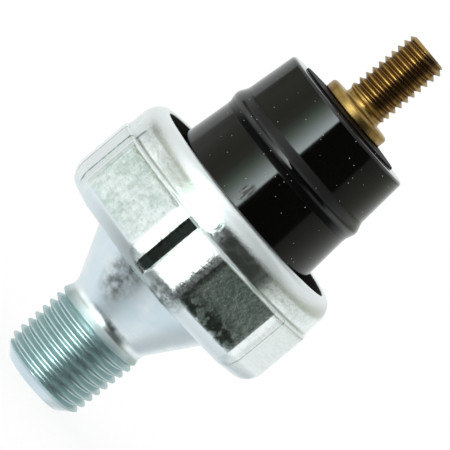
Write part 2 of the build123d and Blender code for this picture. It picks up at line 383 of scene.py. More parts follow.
def spring_tree(name, material):
    """Tree for a compression spring round Z, its ends ground flat and its wire closed at each tip."""
    numbers = ("Bottom", "Top", "Coil Radius", "Wire Radius", "Coils")
    tree, size = new_tree(name, numbers, ("Rows", "Around"))
    rule = Formula(tree)
    mesh, along, around = tube_grid(tree, size["Rows"], size["Around"])
    section = rule.times(around, TURN)
    tip = 0.0001
    inside = rule.times(rule("GREATER_THAN", along, tip), rule("LESS_THAN", along, 1 - tip))
    wire = rule.times(size["Wire Radius"], inside)
    radius = rule.plus(size["Coil Radius"], rule.times(wire, rule("COSINE", section)))
    rise = rule.times(rule("SUBTRACT", size["Top"], size["Bottom"]), along)
    height = rule.plus(size["Bottom"], rise, rule.times(wire, rule("SINE", section)))
    height = rule("MINIMUM", size["Top"], rule.most(size["Bottom"], height))
    turn = rule.times(along, size["Coils"], TURN)
    close_tube(tree, mesh, radius, turn, height, material)
    return tree


def rounded(corners, steps=6):
    """Outline through (radius, height, round) corners, with each round cut into steps."""
    points = []
    count = len(corners)
    for index, (radius, height, corner_round) in enumerate(corners):
        here = Vector((radius, height))
        if corner_round <= 0 or index in (0, count - 1):
            points.append(here)
            continue
        back = Vector(corners[index - 1][:2]) - here
        ahead = Vector(corners[index + 1][:2]) - here
        back.normalize()
        ahead.normalize()
        half = back.angle(ahead) / 2
        centre = here + (back + ahead).normalized() * corner_round / sin(half)
        start = here + back * corner_round / tan(half) - centre
        end = here + ahead * corner_round / tan(half) - centre
        sweep = start.angle_signed(end)
        for step in range(steps + 1):
            spoke = start.copy()
            spoke.rotate(Matrix.Rotation(-sweep * step / steps, 2))
            points.append(centre + spoke)
    return points


def lathe(shape, outline, around, closed=False):
    """Turn an outline of (radius, height) points about Z into a bmesh."""
    rings = []
    for radius, height in outline:
        if radius < MERGE:
            rings.append([shape.verts.new((0, 0, height))] * around)
            continue
        ring = []
        for step in range(around):
            turn = TURN * step / around
            ring.append(shape.verts.new((radius * cos(turn), radius * sin(turn), height)))
        rings.append(ring)
    skin(shape, rings, closed)


def skin(shape, rings, closed=False):
    """Faces between neighbouring rings of a bmesh."""
    pairs = list(zip(rings, rings[1:]))
    if closed:
        pairs.append((rings[-1], rings[0]))
    for low, high in pairs:
        for step in range(len(low)):
            after = (step + 1) % len(low)
            corners = [low[step], low[after], high[after], high[step]]
            corners = list(dict.fromkeys(corners))
            if len(corners) > 2:
                shape.faces.new(corners)


def quarter(steps, first=0):
    """Step numbers and angles up a quarter turn."""
    return [(step, radians(90) * step / steps) for step in range(first, steps + 1)]


def finish_piece(name, shape, body, material, node, weighted=True):
    """Turn a bmesh into a piece of the object that stands for a node."""
    bmesh.ops.remove_doubles(shape, verts=shape.verts, dist=2 * MERGE)
    bmesh.ops.recalc_face_normals(shape, faces=shape.faces)
    mesh = bpy.data.meshes.new(name)
    shape.to_mesh(mesh)
    shape.free()
    for face in mesh.polygons:
        face.use_smooth = True
    mesh.set_sharp_from_angle(angle=SHARP)
    mesh.materials.clear()
    mesh.materials.append(material)
    piece = put_in_scene(name, mesh)
    if weighted:
        weight = piece.modifiers.new("Weighted Normals", "WEIGHTED_NORMAL")
        weight.keep_sharp = True
    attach(piece, body)
    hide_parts(node)
    return piece


class Paint:
    """A procedural material, built from nodes that read Object coordinates."""

    def __init__(self, name, metallic, colour, roughness):
        self.material = bpy.data.materials.new(name)
        self.material.use_nodes = True
        self.tree = self.material.node_tree
        self.shader = self.tree.nodes["Principled BSDF"]
        self.shader.inputs["Metallic"].default_value = metallic
        self.shader.inputs["Base Color"].default_value = (*colour, 1)
        self.shader.inputs["Roughness"].default_value = roughness
        self.place = self.tree.nodes.new("ShaderNodeTexCoord").outputs["Object"]
        self.rule = Formula(self.tree)

    def stretched(self, scale):
        """Object coordinates scaled along each axis."""
        inputs = {"Vector": self.place, "Scale": scale}
        return add_node(self.tree, "ShaderNodeMapping", inputs).outputs[0]

    def height(self):
        """Height above the object's origin."""
        return add_node(self.tree, "ShaderNodeSeparateXYZ", {0: self.place}).outputs[2]

    def distance(self, spot, stretch=(1.0, 1.0, 1.0)):
        """Distance from a spot given in millimetres, with each axis stretched first."""
        target = tuple(one * MM * other for one, other in zip(spot, stretch))
        inputs = {0: self.stretched(stretch), 1: target}
        return add_node(self.tree, "ShaderNodeVectorMath", inputs, operation="DISTANCE").outputs["Value"]

    def mark(self, spot, stretch, edge, full, most=1.0, smooth=False):
        """Strength of a mark round a spot, from nothing at its edge to most at full, in millimetres."""
        away = self.distance(spot, stretch)
        return self.rule.blend(away, edge * MM, full * MM, 0.0, most, smooth)

    def attribute(self, name):
        """Number stored on the mesh."""
        return add_node(self.tree, "ShaderNodeAttribute", {}, attribute_name=name).outputs["Fac"]

    def noise(self, scale, detail=3.0, distortion=0.0, place=None):
        """Noise value, with its scale per metre."""
        return add_node(self.tree, "ShaderNodeTexNoise", {
            "Vector": place or self.place, "Scale": scale, "Detail": detail,
            "Distortion": distortion,
        }).outputs[0]

    def colour(self, socket):
        """Use a socket as the base colour."""
        self.tree.links.new(socket, self.shader.inputs["Base Color"])

    def roughness(self, socket):
        """Use a socket as the roughness."""
        self.tree.links.new(socket, self.shader.inputs["Roughness"])

    def bump(self, height, distance, strength=1.0, below=None):
        """Bump from a height value, over an earlier bump if one is given."""
        inputs = {"Height": height, "Distance": distance, "Strength": strength}
        if below is not None:
            inputs["Normal"] = below
        normal = add_node(self.tree, "ShaderNodeBump", inputs).outputs[0]
        self.tree.links.new(normal, self.shader.inputs["Normal"])
        return normal


def zinc_fitting_paint(finish):
    """Bluish zinc on turned steel: tool rings, a cloudy film, a teal thread and painted shade in two
    places, on the cone under the shell and in the neck.
    """
    paint = Paint("zinc_fitting", 1.0, finish.zinc, 0.3)
    rule = paint.rule
    height = paint.height()
    rings = paint.noise(1.0, 2.0, place=paint.stretched((60, 60, 7000)))
    film = rule.blend(paint.noise(420, 4.0, 0.4), 0.35, 0.65)
    on_thread = rule.blend(height, 9.5 * MM, 8.6 * MM)
    on_thread = rule.times(on_thread, rule.blend(height, 0.75 * MM, 1.0 * MM))
    plated = rule.mix(film, finish.zinc, finish.zinc_blue)
    plated = rule.mix(on_thread, plated, finish.zinc_teal)
    # Painted shade on the cone under the shell's foot and in the hollow of the neck, mottled by noise.
    under_shell = paint.mark((6.88, -2.3, 14.6), (1.0, 1.5, 0.62), 3.7, 1.2, smooth=True)
    under_shell = rule.times(under_shell, rule.blend(height, 10.2 * MM, 11.5 * MM))
    on_neck = paint.mark((4.9, 0.4, 9.95), (0.3, 0.35, 2.5), 1.15, 0.5)
    cone_and_neck_shade = rule.blend(paint.noise(1100, 4.0), 0.36, 0.64, 0.15, 0.8)
    cone_and_neck_shade = rule.times(cone_and_neck_shade, rule.most(under_shell, on_neck))
    paint.colour(rule.mix(cone_and_neck_shade, plated, finish.shade_and_dark_marks))
    ringed = rule.blend(rings, 0.3, 0.7, 0.26, 0.36)
    paint.roughness(rule.plus(ringed, rule.times(film, 0.06), rule.times(on_thread, 0.05)))
    paint.bump(rings, 0.003 * MM, 0.5)
    return paint.material


# Painted dark reflection streaks beside the folds of the nearest corner, which make the reflections' edges
# ragged, in millimetres: how far aside each lies, half its width, and how dark it gets.
DARK_REFLECTION_STREAKS = ((1.9, 0.7, 0.8), (2.7, 0.65, 0.6), (-2.42, 0.5, 0.8))


def shell_marks(paint, flat, patches, strokes):
    """Strength of the shell's dark marks: darker clouds near the foot, a darker foot round, painted dark
    reflections at the front corner's foot and in streaks beside its folds, and a small dark patch under
    the lip.
    """
    rule = paint.rule
    height = paint.height()
    clouds = rule.blend(paint.noise(850, 2.5), 0.56, 0.48)
    # Darker clouds on the lower flat near the foot.
    foot = paint.mark((11.56, 6.68, 17.8), (1.0, 1.0, 3.2), 7.5, 3.0)
    foot = rule.times(rule.blend(flat, 0.5, 0.9), clouds, foot, 0.9)
    # The foot round, darker towards the front corner.
    rim = paint.mark((12.9, -3.0, 16.8), (1.0, 1.0, 1.6), 7.5, 1.0, 0.5)
    rim = rule.times(rim, rule.blend(flat, 0.6, 0.2))
    # Painted dark reflection on the foot round at the front corner.
    corner = paint.mark((13.0, 1.5, 17.0), (1.0, 1.0, 1.4), 2.6, 1.4)
    corner = rule.times(
        corner, rule.blend(patches, 0.38, 0.58, 0.2, 0.75), rule.blend(height, 18.1 * MM, 17.6 * MM)
    )
    dark = rule.most(foot, rim, corner)
    # Painted dark reflection streaks that break up the reflections' edges beside the nearest corner's
    # folds.
    darkened = paint.noise(1.0, 4.0, 2.2, paint.stretched((900, 900, 1500)))
    darkened = rule.times(rule.blend(darkened, 0.40, 0.60), rule.blend(height, 23.3 * MM, 22.9 * MM))
    for side, reach, most in DARK_REFLECTION_STREAKS:
        line = paint.mark((13.8, side, 20.3), (0.05, 1.0, 0.05), reach, 0.2, most)
        dark = rule.most(dark, rule.times(line, darkened))
    # A small dark patch on the band under the lip.
    band_patch = paint.distance((6.65, -11.4, 24.1), (2.2, 2.2, 0.8))
    band_patch = rule.plus(band_patch, rule.times(rule("SUBTRACT", strokes, 0.5), 1.2 * MM))
    return rule.most(dark, rule.blend(band_patch, 0.75 * MM, 0.45 * MM, 0.0, 0.6))


def zinc_shell_paint(finish):
    """Bright zinc on drawn sheet: satin rounds, mottled flats, dull folds and fine grain, with painted
    shade in the creases, on the lip's inner edge and under the lip, and the dark marks of shell_marks.
    """
    paint = Paint("zinc_shell", 1.0, finish.zinc, 0.3)
    rule = paint.rule
    flat, band = paint.attribute("flat"), paint.attribute("band")
    crease, shade = paint.attribute("crease"), paint.attribute("shade")
    patches = paint.noise(1300, 5.0)
    spots = paint.noise(2400, 4.0)
    strokes = paint.noise(1.0, 4.0, place=paint.stretched((2600, 2600, 260)))
    mottle = rule.blend(patches, 0.40, 0.62, smooth=True)
    dull = rule.plus(
        rule.times(mottle, 0.17),
        rule.times(rule.blend(spots, 0.42, 0.66), 0.22),
        rule.blend(paint.noise(330, 2.0), 0.40, 0.62, 0.1, 0.3),
        rule.times(rule.blend(strokes, 0.40, 0.62), 0.15),
    )
    worked = rule.most(rule.blend(flat, 0.55, 0.9), rule.times(band, 0.35))
    folded = rule.times(crease, rule.blend(spots, 0.3, 0.7, 0.6, 1.0))
    dull = rule.most(rule.times(worked, dull), folded)
    coloured = rule.mix(dull, finish.zinc, finish.zinc_dull)
    # Painted shade in the folds' creases, broken up by spots.
    crease_shade = rule.times(rule.blend(crease, 0.6, 0.9), rule.blend(spots, 0.3, 0.7, 0.35, 0.85))
    # The shade layer is painted shade on the lip's inner edge and under the lip.
    dark = rule.most(shell_marks(paint, flat, patches, strokes), crease_shade, shade)
    paint.colour(rule.mix(dark, coloured, finish.shade_and_dark_marks))
    satin = rule.blend(spots, 0.3, 0.7, 0.30, 0.38)
    rolled = rule.plus(rule.blend(strokes, 0.3, 0.7, 0.11, 0.19), rule.times(mottle, 0.08))
    pressed = rule.most(rule.blend(flat, 0.0, 0.5), band)
    rough = rule.plus(satin, rule.times(pressed, rule("SUBTRACT", rolled, satin)))
    polished = rule.times(rule.blend(crease, 0.0, 0.45), rule("SUBTRACT", 0.12, rough))
    paint.roughness(rule.most(rule.plus(rough, polished), rule.times(shade, 0.7)))
    brushed = paint.noise(1.0, 2.0, place=paint.stretched((1500, 1500, 3600)))
    brushed = rule.times(brushed, rule.blend(band, 0.0, 1.0, 1.0, 0.2))
    waves = paint.bump(paint.noise(200, 2.0), 0.02 * MM, 0.4)
    brush = paint.bump(brushed, 0.025 * MM, 0.7, below=waves)
    paint.bump(spots, 0.02 * MM, 0.5, below=brush)
    return paint.material


def round_specks(paint, scale, share, crowd):
    """Round specks in the cells whose lot is above crowd, each a share of its cell."""
    cells = add_node(paint.tree, "ShaderNodeTexVoronoi", {"Vector": paint.place, "Scale": scale})
    lot = add_node(paint.tree, "ShaderNodeSeparateColor", {0: cells.outputs["Color"]}).outputs[0]
    near = paint.rule("LESS_THAN", cells.outputs["Distance"], share)
    return paint.rule.times(paint.rule("GREATER_THAN", lot, crowd), near)


def insulator_paint(finish):
    """Glossy black moulding with a faint ripple, pale specks and one scuffed place, and less gloss where
    it is sheltered, as painted shade.
    """
    paint = Paint("black_insulator", 0.0, finish.insulator, 0.1)
    rule = paint.rule
    crowd = rule.blend(paint.noise(130, 1.0), 0.4, 0.7, 0.92, 0.66)
    dusty = paint.distance((6.85, -5.2, 34.2))
    crowd = rule.times(crowd, rule.blend(dusty, 1.2 * MM, 3.0 * MM, 0.6, 1.0))
    speck = rule.most(*(
        round_specks(paint, scale, share, crowd) for scale, share in ((1300, 0.055), (2300, 0.08))
    ))
    streaks = paint.noise(1.0, 3.0, place=paint.stretched((500, 5200, 900)))
    scuff = paint.mark((8.75, -0.95, 28.4), (1.0, 2.0, 1.0), 1.3, 0.8)
    scuff = rule.times(scuff, rule.blend(streaks, 0.42, 0.6))
    pale = rule.most(speck, rule.times(scuff, 0.04))
    paint.colour(rule.mix(pale, finish.insulator, finish.dust))
    # Painted shade: sheltered places lose gloss and get rougher, most where the barrel faces along X.
    beside = paint.distance((0, 0, 0), (0, 1, 0))
    facing = rule.blend(beside, 6.2 * MM, 8.6 * MM, 1.0, 0.3)
    sheltered = rule.times(paint.attribute("sheltered"), facing)
    haze = rule.blend(paint.noise(240, 3.0), 0.35, 0.7, 0.055, 0.09)
    haze = rule.plus(haze, rule.times(scuff, 0.45), rule.times(sheltered, 0.5))
    paint.roughness(rule.plus(haze, rule.times(speck, 0.5)))
    gloss = rule.blend(sheltered, 0.0, 1.0, 0.5, 0.0)
    paint.tree.links.new(gloss, paint.shader.inputs["Specular IOR Level"])
    paint.bump(paint.noise(900, 2.0), 0.003 * MM, 0.4)
    return paint.material


def terminal_brass_paint(finish):
    """Turned brass, dulled in stains, with painted shade in the thread's roots and a painted dark
    reflection streaking along the thread.
    """
    paint = Paint("terminal_brass", 1.0, finish.brass, 0.25)
    rule = paint.rule
    stains = rule.blend(paint.noise(700, 3.0, 0.4), 0.40, 0.66)
    # Painted shade in the thread's roots, from the groove's depth.
    roots = rule.blend(paint.attribute("groove"), 0.25, 0.9)
    share = rule.most(rule.times(stains, 0.65), roots)
    # Painted dark reflection along one side of the thread.
    dark_reflection_streak = paint.mark((2.2, 0.7, 0), (0.3, 1.0, 0.0), 0.85, 0.5, 0.6)
    dark_reflection_streak = rule.times(dark_reflection_streak, rule.blend(paint.height(), 42.3 * MM, 42.8 * MM))
    darkened = rule.mix(share, finish.brass, finish.brass_dull)
    paint.colour(rule.mix(dark_reflection_streak, darkened, finish.brass_dark_reflection))
    paint.roughness(rule.blend(share, 0.0, 1.0, 0.31, 0.42))
    rings = paint.noise(1.0, 1.0, place=paint.stretched((80, 80, 2200)))
    paint.bump(rings, 0.002 * MM, 0.15)
    return paint.material


def inner_metal_paint(name, colour, roughness):
    """Stamped or drawn metal inside, with a fine uneven grain."""
    paint = Paint(name, 1.0, colour, roughness)
    grain = paint.noise(1800, 3.0)
    darker = tuple(channel * 0.7 for channel in colour)
    paint.colour(paint.rule.mix(paint.rule.blend(grain, 0.4, 0.7), colour, darker))
    paint.roughness(paint.rule.blend(grain, 0.3, 0.7, roughness, roughness + 0.12))
    paint.bump(grain, 0.005 * MM, 0.4)
    return paint.material


def inner_soft_paint(name, colour, roughness, scale):
    """Moulded, pressed or filmy material inside, with its own mottle."""
    paint = Paint(name, 0.0, colour, roughness)
    mottle = paint.noise(scale, 4.0)
    paler = tuple(min(1.0, channel * 1.35 + 0.01) for channel in colour)
    paint.colour(paint.rule.mix(paint.rule.blend(mottle, 0.35, 0.7), colour, paler))
    paint.roughness(paint.rule.blend(mottle, 0.3, 0.7, roughness, min(1.0, roughness + 0.1)))
    paint.bump(mottle, 0.01 * MM, 0.4)
    return paint.material


class SENDER_OT_fitting(bpy.types.Operator):
    """Turned fitting with its tapered pipe thread"""

    bl_idname = "sender.fitting"
    bl_label = "Pressure Fitting"

    def execute(self, context):
        size = context.scene.sender_fitting
        around = 144
        paint = zinc_fitting_paint(context.scene.sender_finish)
        lead_slope = 1.0
        run_slope = 0.39
        port_lead = 0.4 * MM
        turns = ceil(size.thread_top / size.pitch)
        thread = run_tree(thread_tree("pipe_thread", paint), {
            "Pitch": size.pitch, "Depth": size.depth, "Bottom": fitting_low.z,
            "Top": size.thread_top, "Crest Radius": size.crest_radius, "Taper": 1 / 32,
            "Bottom Radius": size.face_radius, "Top Radius": size.neck_radius,
            "Bottom Slope": lead_slope, "Top Slope": run_slope,
            "Bottom Fade": 0.01 * MM, "Top Fade": size.fade, "Soften": 0.12 * MM,
            "Start": size.start, "Turns": turns, "Steps": THREAD_STEPS, "Around": around,
        })
        shell_floor = shell_low.z + context.scene.sender_shell.sheet
        flange_radius = fitting_high.x
        top = fitting_high.z
        seal_outer = seal_high.x + size.groove_gap
        inner_radius = seal_high.x - size.seal_width - size.groove_gap
        fine = 0.08 * MM
        outline = rounded([
            (size.neck_radius, size.thread_top, 0),
            (size.neck_radius, size.neck_top, 1.2 * MM),
            (size.cone_radius, shell_low.z, 0.05 * MM),
            (size.cone_radius, shell_floor, fine),
            (flange_radius, shell_floor, fine),
            (flange_radius, top, fine),
            (seal_outer, top, fine),
            (seal_outer, seal_low.z, fine),
            (inner_radius, seal_low.z, fine),
            (inner_radius, top, fine),
            (size.dish_radius, top, fine),
            (size.dish_radius, top - size.dish_depth, fine),
            (size.throat_radius, top - size.dish_depth, fine),
            (size.throat_radius, size.port_depth, fine),
            (size.port_radius, size.port_depth, fine),
            (size.port_radius, fitting_low.z + port_lead, fine),
            (size.port_radius + port_lead, fitting_low.z, fine),
            (size.face_radius, fitting_low.z, 0),
        ])
        shape = bmesh.new()
        shape.from_mesh(thread)
        lathe(shape, outline, around)
        finish_piece("fitting_body", shape, "housing", paint, "pressure_fitting")
        return {"FINISHED"}


def at(points, value):
    """Second number of a list of pairs, read off at a value of the first."""
    for (low, first), (high, second) in zip(points, points[1:]):
        if value <= high:
            return first + (second - first) * max(0.0, value - low) / max(1e-9, high - low)
    return points[-1][1]


def smooth(value, low, high):
    """Share from 0 to 1 as a value goes from low to high, either way round, easing at both ends."""
    share = min(1.0, max(0.0, (value - low) / (high - low)))
    return share * share * (3 - 2 * share)


# Corners of the folded sheet as (outwards, sideways, round) in millimetres from the axis, with
# the flats left out: a soft hollow, the fold's groove, and the blunt facet beside it.
WIDE_FOLD = (
    (13.193, -3.85, 0.8), (13.53, -2.5, 0.12), (13.36, -1.14, 0.06), (13.86, -1.02, 0.1),
    (14.01, 2.40, 3.0),
)
NARROW_FOLD = (
    (13.193, -3.85, 0.8), (13.62, -2.5, 0.14), (13.82, -0.18, 0.08), (13.75, 0.0, 0.06),
    (13.77, 0.56, 0.06), (13.88, 0.76, 0.08), (13.975, 2.36, 0.8),
)
SOFT_FOLD = ((13.268, -3.72, 0.6), (13.684, -2.05, 0.25), (13.975, 2.482, 1.9))
FOLDS = (WIDE_FOLD, SOFT_FOLD, WIDE_FOLD, NARROW_FOLD, SOFT_FOLD, NARROW_FOLD)
# Where each fold is dull and darkened with painted shade, as (from, to, how much), how wide a
# crease's soft edge is, and where the flat beside a fold starts.
CREASES = {
    WIDE_FOLD: ((-2.55, -1.0, 0.5),),
    NARROW_FOLD: ((-2.66, -2.34, 0.9), (-0.28, 0.06, 1.0), (0.5, 0.84, 0.9)),
    SOFT_FOLD: ((-2.2, -1.9, 0.8),),
}
CREASE_EDGE = 0.12
FLAT_STARTS = {WIDE_FOLD: 2.5, NARROW_FOLD: 0.9, SOFT_FOLD: 2.5}


def in_crease(side, low, high):
    """Share of a crease that runs from low to high in millimetres, easing at its edges."""
    inside = smooth(side, low * MM, (low + CREASE_EDGE) * MM)
    return inside * smooth(side, high * MM, (high - CREASE_EDGE) * MM)


def flat_share(side, fold):
    """Share of the flats' finish beside a fold, which comes in two steps where the hollow is."""
    if side < 0:
        return (smooth(side, -2.6 * MM, -3.1 * MM) + smooth(side, -3.9 * MM, -4.3 * MM)) / 2
    return smooth(side, FLAT_STARTS[fold] * MM, (FLAT_STARTS[fold] + 0.5) * MM)


def corner_sector(apothem, trim, corner_round, fold):
    """Points of the corner on +X, from flat to flat: place, normal, fold's push, crease and flat."""
    slant = radians(30)
    corner = apothem / cos(slant) - trim
    facet = trim * tan(2 * slant) - corner_round * tan(slant / 2)
    centre = corner - corner_round
    end = apothem * sin(slant)
    corners = [(apothem * cos(slant), -end, 0)]
    corners += [tuple(number * MM for number in point) for point in fold]
    corners.append((apothem * cos(slant), end, 0))
    folded = [(point.y, point.x) for point in rounded(corners, 5)]
    arc = [facet + corner_round * sin(slant * step / 6) for step in range(7)]
    sides = {round(side, 7) for side, reach in folded}
    sides |= {round(sign * side, 7) for side in arc for sign in (-1, 1)}
    sides |= {round(end * step / 18, 7) for step in range(-18, 19)}
    sector = []
    for side in sorted(sides):
        across = abs(side)
        if across <= facet:
            reach, lean = corner, 0.0
        elif across <= arc[-1]:
            lean = asin((across - facet) / corner_round)
            reach = centre + corner_round * cos(lean)
        else:
            lean = slant
            reach = (apothem - across * sin(lean)) / cos(lean)
        lean = lean if side > 0 else -lean
        push = at(folded, side) - reach
        crease = sum(much * in_crease(side, low, high) for low, high, much in CREASES[fold])
        place, normal = Vector((reach, side)), Vector((cos(lean), sin(lean)))
        sector.append((place, normal, push, crease, flat_share(side, fold)))
    return sector[1:]


class SENDER_OT_shell(bpy.types.Operator):
    """Drawn hexagonal shell with its rolled lip"""

    bl_idname = "sender.shell"
    bl_label = "Hexagonal Shell"

    def execute(self, context):
        size = context.scene.sender_shell
        paint = zinc_shell_paint(context.scene.sender_finish)
        apothem = shell_high.y
        outline = []
        for index, fold in enumerate(FOLDS):
            turn = Matrix.Rotation(radians(60) * index, 2)
            for place, normal, *rest in corner_sector(apothem, size.corner_trim, size.corner_round, fold):
                outline.append((turn @ place, turn @ normal, turn @ Vector((1, 0)), *rest))
        bottom, top = shell_low.z, shell_high.z
        floor = bottom + size.sheet
        hex_top = bottom + size.hex_height
        band = apothem - size.band_step
        lip = band - size.lip_width
        hub = context.scene.sender_fitting.cone_radius + size.hub_gap
        fine = 0.08 * MM
        shape = bmesh.new()
        crease_layer, flat_layer, band_layer, shade_layer = (
            shape.verts.layers.float.new(name) for name in ("crease", "flat", "band", "shade")
        )
        rings = []

        def hexagon(inset, height, fold=0.0, least=0.0, flat=0.0):
            ring = []
            for place, normal, out, push, crease, on_flat in outline:
                point = place + out * push * fold - normal * inset
                if point.length < least:
                    point = point.normalized() * least
                vert = shape.verts.new((point.x, point.y, height))
                vert[crease_layer] = crease * fold
                vert[flat_layer] = on_flat * flat
                ring.append(vert)
            rings.append(ring)

        def circle(radius, height, band=0.0, shade=0.0):
            points = [place.normalized() * radius for place, *rest in outline]
            rings.append([shape.verts.new((point.x, point.y, height)) for point in points])
            for vert in rings[-1]:
                vert[band_layer] = band
                vert[shade_layer] = shade

        round_part = 1.5 * MM
        circle(hub, bottom)
        circle(hub + round_part, bottom)
        for step, lean in quarter(12):
            rise = size.foot_round * (1 - cos(lean))
            fold = smooth(rise, 0.25 * MM, 1.5 * MM)
            flat = smooth(rise, 1.1 * MM, 1.9 * MM)
            hexagon(size.foot_round * (1 - sin(lean)), bottom + rise, fold, flat=flat)
        foot_top = bottom + size.foot_round
        edge = hex_top - size.shoulder_round
        for share in (0.12, 0.35, 0.65, 0.9, 1.0):
            hexagon(0, foot_top + (edge - foot_top) * share, 1.0, flat=1.0)
        proud = 0.02 * MM
        least = band + size.band_taper + proud
        for step, lean in quarter(5, first=1):
            inset = size.shoulder_round * (1 - cos(lean))
            height = edge + size.shoulder_round * sin(lean)
            hexagon(inset, height, 1.0, least=least, flat=1 - step / 5)
        lip_start = top - size.lip_rise
        circle(band + size.band_taper + fine / 4, hex_top, 1.0)
        circle(band + size.band_taper, hex_top + fine / 2, 1.0)
        for share in (0.25, 0.5, 0.75, 1.0):
            radius = band + size.band_taper * (1 - 2 * share * share)
            circle(radius, hex_top + (lip_start - hex_top) * share, 1.0)
        for step, lean in quarter(14, first=1):
            radius = band - size.band_taper - size.lip_reach * (1 - cos(lean))
            circle(radius, lip_start + size.lip_rise * sin(lean), 1 - smooth(step, 0, 5))
        for step, lean in quarter(5):
            height = top - size.lip_edge * (1 - cos(lean))
            circle(lip + size.lip_edge * (1 - sin(lean)), height, shade=smooth(step, 3, 5))
        under_lip = top - size.sheet
        circle(lip, under_lip + fine, shade=1.0)
        circle(lip + fine, under_lip, shade=1.0)
        circle(band - size.sheet - fine, under_lip, shade=1.0)
        circle(band - size.sheet, under_lip - fine)
        circle(band - size.sheet, hex_top - size.sheet)
        hexagon(size.sheet, hex_top - size.sheet)
        hexagon(size.sheet, floor + fine)
        hexagon(size.sheet + fine, floor)
        circle(hub + fine, floor)
        circle(hub, floor - fine)
        skin(shape, rings, closed=True)
        finish_piece("shell", shape, "housing", paint, "hex_shell")
        return {"FINISHED"}


class SENDER_OT_cap(bpy.types.Operator):
    """Moulded black insulator"""

    bl_idname = "sender.cap"
    bl_label = "Insulator Cap"

    def execute(self, context):
        size = context.scene.sender_cap
        paint = insulator_paint(context.scene.sender_finish)
        slope = tan(size.draft)
        flange_top = cap_low.z + size.flange_height
        barrel_top = cap_high.z - size.pad_height
        roof = barrel_top - size.roof
        flange_radius = cap_high.x
        bead = flange_top + size.bead_place
        half = size.bead_height / 2

        def barrel(height, proud=0.0, corner_round=0.0):
            radius = size.barrel_radius - slope * (height - flange_top) + proud
            return radius, height, corner_round

        around = 144
        fine = 0.1 * MM
        flange_round = 0.15 * MM
        barrel_foot = 0.25 * MM
        crown = []
        for step in range(17):
            share = -1 + 2 * step / 16
            crown.append(barrel(bead + half * share, size.bead_proud * (1 + cos(pi * share)) / 2))
        outline = rounded([
            (size.chamber_radius, cap_low.z, 0),
            (flange_radius, cap_low.z, flange_round),
            (flange_radius, flange_top, flange_round),
            (size.barrel_radius, flange_top, barrel_foot),
            *(barrel(flange_top + rise * MM) for rise in (0.3, 0.6, 1.0, 3.5, 6.0)),
            *crown,
            barrel(barrel_top, corner_round=size.top_round),
            (size.pad_radius, barrel_top, fine),
            (size.pad_radius, cap_high.z - size.pad_fall, fine),
            (size.seat_radius, cap_high.z, fine),
            (size.hole_radius, cap_high.z, fine),
            (size.hole_radius, roof, fine),
            (size.spring_chamber, roof, fine),
            (size.spring_chamber, cap_low.z + size.chamber_height, fine),
            (size.chamber_radius, cap_low.z + size.chamber_height, fine),
            (size.chamber_radius, cap_low.z, 0),
        ])
        shape = bmesh.new()
        lathe(shape, outline, around)
        sheltered = shape.verts.layers.float.new("sheltered")
        # How sheltered the barrel is at each height, in the lip's corner and on the bead's slopes,
        # and how sheltered the pad is; the shelter takes gloss away as painted shade.
        shelter = (
            (flange_top + 0.3 * MM, 1.0), (flange_top + 1.0 * MM, 0.0), (bead - 1.1 * half, 0.0),
            (bead - half, 0.9), (bead - 0.46 * half, 0.9), (bead - 0.34 * half, 0.0),
            (bead + 0.12 * half, 0.0), (bead + 0.37 * half, 0.45), (bead + 0.88 * half, 0.45),
            (bead + half, 0.0), (cap_high.z, 0.0),
        )
        pad_shelter = 0.9
        for vert in shape.verts:
            if vert.co.xy.length > size.pad_radius + fine:
                vert[sheltered] = at(shelter, vert.co.z)
            elif vert.co.z > barrel_top + fine / 2:
                vert[sheltered] = pad_shelter
        finish_piece("cap_body", shape, "housing", paint, "insulator_cap")
        return {"FINISHED"}


class SENDER_OT_stud(bpy.types.Operator):
    """Brass terminal stud with its thread"""

    bl_idname = "sender.stud"
    bl_label = "Terminal Stud"

    def execute(self, context):
        size = context.scene.sender_stud
        around = 96
        paint = terminal_brass_paint(context.scene.sender_finish)
        run_slope = 0.8
        tip_slope = 1.2
        thread_bottom = stud_high.z - size.thread_length
        thread = run_tree(thread_tree("stud_thread", paint), {
            "Pitch": size.pitch, "Depth": size.depth, "Bottom": thread_bottom,
            "Top": stud_high.z, "Crest Radius": size.radius, "Taper": 0.0,
            "Bottom Radius": size.collar_radius, "Top Radius": size.tip_radius,
            "Bottom Slope": run_slope, "Top Slope": tip_slope,
            "Bottom Fade": 0.7 * MM, "Top Fade": 0.01 * MM, "Soften": 0.08 * MM,
            "Start": size.start, "Turns": ceil(size.thread_length / size.pitch),
            "Steps": THREAD_STEPS, "Around": around,
        })
        flange_top = thread_bottom - size.collar_height
        flange_bottom = flange_top - size.flange_height
        fine = 0.08 * MM
        head_round = 0.3 * MM
        outline = rounded([
            (size.collar_radius, thread_bottom, 0),
            (size.collar_radius, flange_top, size.collar_blend),
            (size.flange_radius, flange_top, size.flange_round),
            (size.flange_radius, flange_bottom, 2 * fine),
            (size.shank_radius, flange_bottom, fine),
            (size.shank_radius, washer_low.z, fine),
            (size.head_radius, washer_low.z, fine),
            (size.head_radius, stud_low.z, head_round),
            (0, stud_low.z, 0),
        ])
        shape = bmesh.new()
        shape.from_mesh(thread)
        lathe(shape, [(0, stud_high.z), (size.tip_radius, stud_high.z)], around)
        lathe(shape, outline, around)
        finish_piece("stud", shape, "housing", paint, "terminal_stud")
        return {"FINISHED"}


